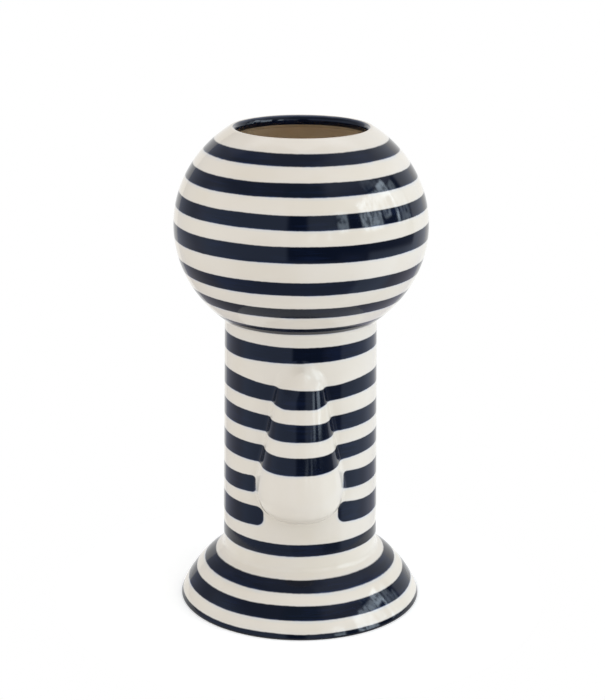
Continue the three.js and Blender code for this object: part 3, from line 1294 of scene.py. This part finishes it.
    def form(self) -> bmesh.types.BMesh:
        """Extrudes a circle ring by ring along the nose's lines, and smooths the slip.

        Returns:
            The nose's mesh, closed at the back inside the column's wall.
        """
        mesh = bmesh.new()
        crease_light = mesh.verts.layers.float.new(CREASE_LIGHT)
        turns = [math.tau * (index + 0.5) / self.points for index in range(self.points)]
        lines = [self.lines(turn) for turn in turns]
        verts = bmesh.ops.create_circle(mesh, segments=self.points, radius=1.0)["verts"]
        rings = []
        for layer in zip(*lines):
            if rings:
                ring = set(verts)
                loop = {edge for vert in verts for edge in vert.link_edges if edge.other_vert(vert) in ring}
                made = bmesh.ops.extrude_edge_only(mesh, edges=list(loop))["geom"]
                fresh = {part for part in made if isinstance(part, bmesh.types.BMVert)}
                verts = [
                    next(edge.other_vert(vert) for edge in vert.link_edges if edge.other_vert(vert) in fresh)
                    for vert in verts
                ]
            for vert, place in zip(verts, layer):
                vert.co = place
            rings.append(verts)
        slip = self.first_slip_ring
        # Painted light: marks where a paler tone lifts the shade in the slip's crease beside the bulb.
        for step, ring in enumerate(rings[slip : slip + 1 + self.crease_light_steps]):
            for vert, turn in zip(ring, turns):
                depth = math.sin(math.pi * step / self.crease_light_steps)
                vert[crease_light] = self.crease_light_share * self.beside_bulb(turn) * depth**2
        first = slip + self.slip_steps // 2
        soft = [vert for ring in rings[first : first + self.slip_steps] for vert in ring]
        for _ in range(self.smoothings):
            bmesh.ops.smooth_vert(mesh, verts=soft, factor=self.smoothing,
                                  use_axis_x=True, use_axis_y=True, use_axis_z=True)
        bmesh.ops.remove_doubles(mesh, verts=mesh.verts, dist=SAME_PLACE)
        bmesh.ops.recalc_face_normals(mesh, faces=mesh.faces)
        return mesh

    def skin(self, centre: Vector, normal: Vector) -> Skin:
        """Returns glaze for every face."""
        return Skin.GLAZED


@dataclass
class Vase:
    """The whole vase, from its mouth down to its floor."""

    sizes: ClaySizes = field(default_factory=ClaySizes)

    def finishes(self) -> dict[Finish, bpy.types.Material]:
        """Makes the materials.

        Returns:
            The material of each finish.
        """
        measure = BandMeasure()
        crest = self.sizes.on_globe(self.sizes.mouth_angle)
        inner = self.sizes.on_globe(self.sizes.mouth_angle, self.sizes.wall)
        slope = crest - inner
        lip = LipGlaze(crest_radius=crest.x, crest_height=crest.y, cut_angle=math.atan2(slope.y, slope.x))
        striped = (
            StripedGlaze(name=Finish.GLOBE.value, bands=GLOBE_BANDS),
            StripedGlaze(name=Finish.COLUMN.value, bands=COLUMN_BANDS),
            StripedGlaze(name=Finish.NOSE.value, bands=COLUMN_BANDS, crease_lit=True, smoothest=0.10, dullest=0.17),
            StripedGlaze(name=Finish.BELL.value, bands=BELL_BANDS),
        )
        made = {Finish(glaze.name): glaze.material(measure) for glaze in striped}
        made.update({Finish(glaze.name): glaze.material() for glaze in (lip, InnerGlaze(), BareClay())})
        return made

    def build(self) -> None:
        """Builds and dresses every piece, and reports each one."""
        finishes = self.finishes()
        inside, bare = finishes[Finish.INSIDE], finishes[Finish.BARE]
        pieces = (
            (Lip("glazed_lip", "mouth_lip", Slot.NAVY, self.sizes), Finish.LIP),
            (Globe("glazed_globe", "globe", Slot.CREAM, self.sizes), Finish.GLOBE),
            (Column("glazed_column", "column", Slot.CREAM, self.sizes), Finish.COLUMN),
            (Nose("glazed_nose", "nose", Slot.CREAM, self.sizes), Finish.NOSE),
            (Bell("glazed_bell", "foot_bell", Slot.CREAM, self.sizes), Finish.BELL),
            (Floor("clay_floor", "floor_disc", Slot.CLAY, self.sizes), Finish.BELL),
        )
        for piece, glaze in pieces:
            made = piece.make({Skin.GLAZED: finishes[glaze], Skin.INSIDE: inside, Skin.BARE: bare})
            log.info("%s: %d faces, in place of %s", made.name, len(made.data.polygons), piece.node)


@dataclass(frozen=True)
class Screen:
    """A soft screen in the room, by its directions from the globe in degrees: 0 is the front, and the right is more."""

    left: float
    right: float
    low: float
    high: float
    colour: Colour
    soft: float = 8.0

    @property
    def spans(self) -> tuple[Span, Span]:
        """The screen's ends, from left to right and from low to high."""
        return (self.left, self.right), (self.low, self.high)


@dataclass(frozen=True)
class Softbox:
    """A lit softbox in the room, behind leaves, by its directions from the globe in degrees."""

    azimuth: float
    elevation: float
    width: float
    height: float
    brightness: float

    @property
    def spans(self) -> tuple[Span, Span]:
        """The softbox's ends, from left to right and from low to high."""
        across, up = self.width / 2, self.height / 2
        return (self.azimuth - across, self.azimuth + across), (self.elevation - up, self.elevation + up)


@dataclass(frozen=True)
class Room:
    """The soft screens and softboxes round the table, seen only as reflections in the glaze.

    A later screen covers those before it. The softboxes shine through leaves, which a noise stands for.
    """

    radius: float = 12.0
    centre_height: float = 0.26
    sides: int = 64
    open_from: float = 0.82
    box_softs: Span = (0.9, 1.2)
    leaves: Grain = Grain(0.34, 3.0, 0.65, (1.0, 0.4, 1.0), (0.38, 0.58))
    leaf_shade: float = 0.12
    plain: Colour = (0.65, 0.68, 0.80)
    screens: tuple[Screen, ...] = (
        Screen(-97.0, 5.0, -90.0, 35.0, (0.78, 0.93, 1.25), 12.0),
        Screen(112.0, 400.0, -90.0, 90.0, (0.90, 0.95, 1.05), 8.0),
        Screen(-400.0, 400.0, 45.0, 180.0, (0.55, 0.60, 0.75), 12.0),
        Screen(-120.0, 5.0, 30.0, 62.0, (0.40, 0.44, 0.54), 8.0),
        Screen(-20.0, 25.0, 34.0, 54.0, (0.30, 0.37, 0.41), 6.0),
        Screen(32.0, 122.0, 42.0, 72.0, (0.95, 1.05, 1.30), 7.0),
        Screen(-400.0, 400.0, -180.0, -22.0, (0.48, 0.56, 0.78), 4.0),
        Screen(62.0, 128.0, -180.0, -15.0, (0.92, 1.10, 1.42), 5.0),
        Screen(-12.0, 62.0, -21.5, 28.0, (0.10, 0.11, 0.13), 2.5),
        Screen(58.0, 118.0, -14.0, 28.0, (0.10, 0.11, 0.13), 2.5),
        Screen(34.0, 62.0, -24.0, -14.0, (0.24, 0.27, 0.36), 5.0),
        Screen(60.0, 118.0, -14.0, -4.0, (0.22, 0.24, 0.29), 3.0),
        Screen(73.0, 84.0, 30.0, 38.0, (0.12, 0.18, 0.34), 1.5),
        Screen(6.0, 32.0, 7.0, 26.0, (0.84, 0.97, 1.16), 2.5),
        Screen(-400.0, -108.0, -10.0, 40.0, (0.45, 0.48, 0.58), 9.0),
        Screen(-400.0, -100.0, -180.0, -20.0, (0.54, 0.53, 0.58), 9.0),
        Screen(100.0, 400.0, -180.0, -20.0, (0.72, 0.71, 0.81), 9.0),
        Screen(125.0, 400.0, 52.0, 180.0, (2.30, 2.45, 2.80), 8.0),
        Screen(-400.0, -125.0, 52.0, 180.0, (2.30, 2.45, 2.80), 8.0),
    )
    daylight: Colour = (0.96, 1.14, 1.30)
    softboxes: tuple[Softbox, ...] = (
        Softbox(38.0, 15.5, 10.5, 21.0, 5.5),
        Softbox(62.0, 16.0, 11.0, 27.0, 8.5),
        Softbox(66.5, 7.0, 19.0, 8.0, 8.0),
        Softbox(73.5, 26.5, 15.0, 10.5, 6.4),
        Softbox(84.5, 26.0, 9.0, 11.5, 6.6),
        Softbox(73.5, 15.5, 10.0, 25.0, 6.5),
        Softbox(77.5, 17.5, 3.0, 9.0, 10.0),
        Softbox(86.0, 15.5, 9.0, 13.0, 4.0),
        Softbox(94.5, 28.0, 12.0, 11.0, 8.0),
        Softbox(98.5, 13.0, 3.0, 24.0, 9.0),
        Softbox(106.0, 21.0, 10.0, 12.0, 2.6),
        Softbox(109.0, 7.5, 14.0, 18.0, 1.7),
        Softbox(84.0, 39.0, 20.0, 9.0, 1.2),
        Softbox(25.0, 4.0, 3.5, 10.0, 3.2),
        Softbox(12.0, 4.0, 2.2, 4.0, 4.0),
        Softbox(8.0, 1.5, 3.0, 5.0, 5.0),
    )

    def window(self, graph: Graph, angles: tuple[Value, Value], spans: tuple[Span, Span], softs: Span) -> Socket:
        """Finds whether a direction is in a window that fades at its edges.

        Args:
            graph: The material's graph.
            angles: The direction's azimuth and elevation, in degrees.
            spans: The window's ends, from left to right and from low to high.
            softs: Half of the width over which the sides fade, and the same for the top and the bottom.

        Returns:
            1 in the window and 0 outside it.
        """
        shares = []
        for angle, span, soft in zip(angles, spans, softs):
            rising, falling = (graph.smooth(angle, end - soft, end + soft) for end in span)
            shares.append(graph.minus(rising, falling))
        return graph.times(*shares)

    def material(self) -> bpy.types.Material:
        """Makes the glowing material of the screens and the softboxes.

        Returns:
            The material.
        """
        material, graph, output = new_material("room_screens")
        centre = (0.0, 0.0, self.centre_height)
        offset = graph.add("VectorMath", {0: graph.object_place(), 1: centre}, operation="SUBTRACT").outputs[0]
        direction = graph.add("VectorMath", {0: offset}, operation="NORMALIZE").outputs[0]
        x, y, z = graph.parts(direction)
        azimuth = graph.math("DEGREES", graph.math("ARCTAN2", x, graph.times(y, -1.0)))
        elevation = graph.math("DEGREES", graph.math("ARCSINE", z))
        room = self.plain
        for screen in self.screens:
            share = self.window(graph, (azimuth, elevation), screen.spans, (screen.soft, screen.soft))
            room = graph.mix(share, room, screen.colour)
        chart = graph.add("CombineXYZ", {0: azimuth, 1: elevation, 2: 0.0}).outputs[0]
        leaves = graph.line(graph.grain(chart, self.leaves), 1.0 - self.leaf_shade, self.leaf_shade)
        glow: Value = 0.0
        for box in self.softboxes:
            share = self.window(graph, (azimuth, elevation), box.spans, self.box_softs)
            glow = graph.math("MAXIMUM", glow, graph.times(share, box.brightness))
        glow = graph.times(glow, leaves)
        light = graph.add("Emission", {0: self.daylight, 1: glow}).outputs[0]
        screens = graph.add("Emission", {0: room, 1: 1.0}).outputs[0]
        graph.link(graph.add("AddShader", {0: light, 1: screens}), output)
        return material

    def build(self) -> None:
        """Sets the screens round the table, open behind the vase, where the pale backdrop shows."""
        mesh = bmesh.new()
        centred = Matrix.Translation((0.0, 0.0, self.centre_height))
        bmesh.ops.create_uvsphere(mesh, u_segments=self.sides, v_segments=self.sides // 2,
                                  radius=self.radius, matrix=centred)
        everything = [*mesh.verts, *mesh.edges, *mesh.faces]
        bmesh.ops.bisect_plane(mesh, geom=everything, plane_co=(0.0, self.radius * self.open_from, 0.0),
                               plane_no=(0.0, 1.0, 0.0), clear_outer=True)
        screens = add_object("room_screens", mesh, [self.material()])
        screens.visible_camera = screens.visible_diffuse = screens.visible_shadow = False
        screens.visible_transmission = screens.visible_volume_scatter = False


@dataclass(frozen=True)
class Lamp:
    """A soft lamp aimed at the vase."""

    name: str
    place: Colour
    size: float
    watts: float
    colour: Colour


@dataclass(frozen=True)
class Studio:
    """The pale floor, the pale backdrop and the soft lamps."""

    floor_radius: float = 0.165
    floor_steps: int = 96
    grains: Grain = Grain(140.0, 3.0)
    grain_depth: float = 0.2 * MM
    grain_strength: float = 0.2
    floor_colour: Colour = (0.86, 0.86, 0.86)
    floor_glow: float = 0.35
    ambient: Colour = (0.797, 0.802, 0.806)
    target: Colour = (0.0, 0.0, 0.16)
    lamps: tuple[Lamp, ...] = (
        Lamp("right_screen", (1.65, -0.6, 0.35), 1.3, 13.4, (0.77, 0.92, 1.0)),
        Lamp("left_screen", (-1.6, -0.7, 0.3), 1.3, 6.5, (0.94, 1.0, 0.95)),
        Lamp("front_screen", (0.2, -2.0, 0.0), 1.6, 0.8, (1.0, 0.95, 0.95)),
        Lamp("overhead", (0.5, -0.6, 2.1), 1.6, 4.0, (1.0, 0.98, 0.95)),
    )

    def seen(self, graph: Graph) -> Socket:
        """Finds whether a ray is one that shows the backdrop.

        Args:
            graph: The material's or the world's graph.

        Returns:
            1 for what the camera sees, directly or in gloss or glass.
        """
        path = graph.add("LightPath").outputs
        gloss = graph.plus(path["Is Glossy Ray"], path["Is Transmission Ray"])
        return graph.math("MINIMUM", graph.plus(path["Is Camera Ray"], gloss), 1.0)

    def floor(self) -> None:
        """Lays the floor, which keeps the vase's shadow."""
        material, graph, output = new_material("pale_paper")
        grains = graph.grain(graph.object_place(), self.grains)
        bump = graph.bump(grains, self.grain_depth, self.grain_strength)
        paper = graph.add("BsdfDiffuse", {"Color": self.floor_colour, "Normal": bump}).outputs[0]
        lift = graph.times(self.seen(graph), self.floor_glow)
        glow = graph.add("Emission", {0: WHITE, 1: lift}).outputs[0]
        graph.link(graph.add("AddShader", {0: paper, 1: glow}), output)
        mesh = bmesh.new()
        bmesh.ops.create_circle(mesh, cap_ends=True, segments=self.floor_steps, radius=self.floor_radius)
        add_object("pale_floor", mesh, [material])

    def backdrop(self) -> None:
        """Makes the world: white where it is seen, and plain soft light on everything else."""
        world = bpy.data.worlds.new("pale_backdrop")
        world.use_nodes = True
        bpy.context.scene.world = world
        graph = Graph(world.node_tree)
        colour = graph.mix(self.seen(graph), self.ambient, WHITE)
        graph.link(graph.add("Background", {0: colour, 1: 1.0}), graph.add("OutputWorld"))

    def light(self) -> None:
        """Hangs the lamps. The glaze reflects the room and not the lamps."""
        for lamp in self.lamps:
            data = bpy.data.lights.new(lamp.name, "AREA")
            data.shape, data.size, data.energy, data.color = "DISK", lamp.size, lamp.watts, lamp.colour
            hung = bpy.data.objects.new(lamp.name, data)
            bpy.context.scene.collection.objects.link(hung)
            place = Vector(lamp.place)
            aim = (Vector(self.target) - place).to_track_quat("-Z", "Y")
            hung.matrix_world = Matrix.Translation(place) @ aim.to_matrix().to_4x4()
            hung.visible_glossy = hung.visible_camera = False

    def build(self) -> None:
        """Builds the studio."""
        self.floor()
        self.backdrop()
        self.light()


@dataclass(frozen=True)
class PhotoCamera:
    """The photograph's camera, in a frame of 605 by 700 pixels."""

    frame_height: float = 700.0
    focal_pixels: float = 1816.86
    sensor: float = 36.0
    place: Colour = (0.0, -1.1509, 0.5203)
    pitch: float = math.radians(16.85)
    roll: float = 0.0040
    left_shift: float = 1.85
    down_shift: float = 0.5
    nearest: float = 0.05
    farthest: float = 50.0

    def build(self) -> None:
        """Makes the camera and gives it to the scene."""
        data = bpy.data.cameras.new("photo_camera")
        data.sensor_width = self.sensor
        data.lens = self.focal_pixels * self.sensor / self.frame_height
        data.shift_x = self.left_shift / self.frame_height
        data.shift_y = self.down_shift / self.frame_height
        data.clip_start, data.clip_end = self.nearest, self.farthest
        camera = bpy.data.objects.new("photo_camera", data)
        bpy.context.scene.collection.objects.link(camera)
        tilt = Matrix.Rotation(math.pi / 2 - self.pitch, 4, "X") @ Matrix.Rotation(self.roll, 4, "Z")
        camera.matrix_world = Matrix.Translation(self.place) @ tilt
        bpy.context.scene.camera = camera


def main() -> None:
    """Builds the vase, the studio, the room and the camera, and logs each piece's faces."""
    logging.basicConfig(level=logging.INFO, format="%(name)s: %(message)s")
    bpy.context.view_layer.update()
    Vase().build()
    Studio().build()
    Room().build()
    PhotoCamera().build()
    bpy.context.scene.view_settings.view_transform = "Standard"


if __name__ == "__main__":
    main()
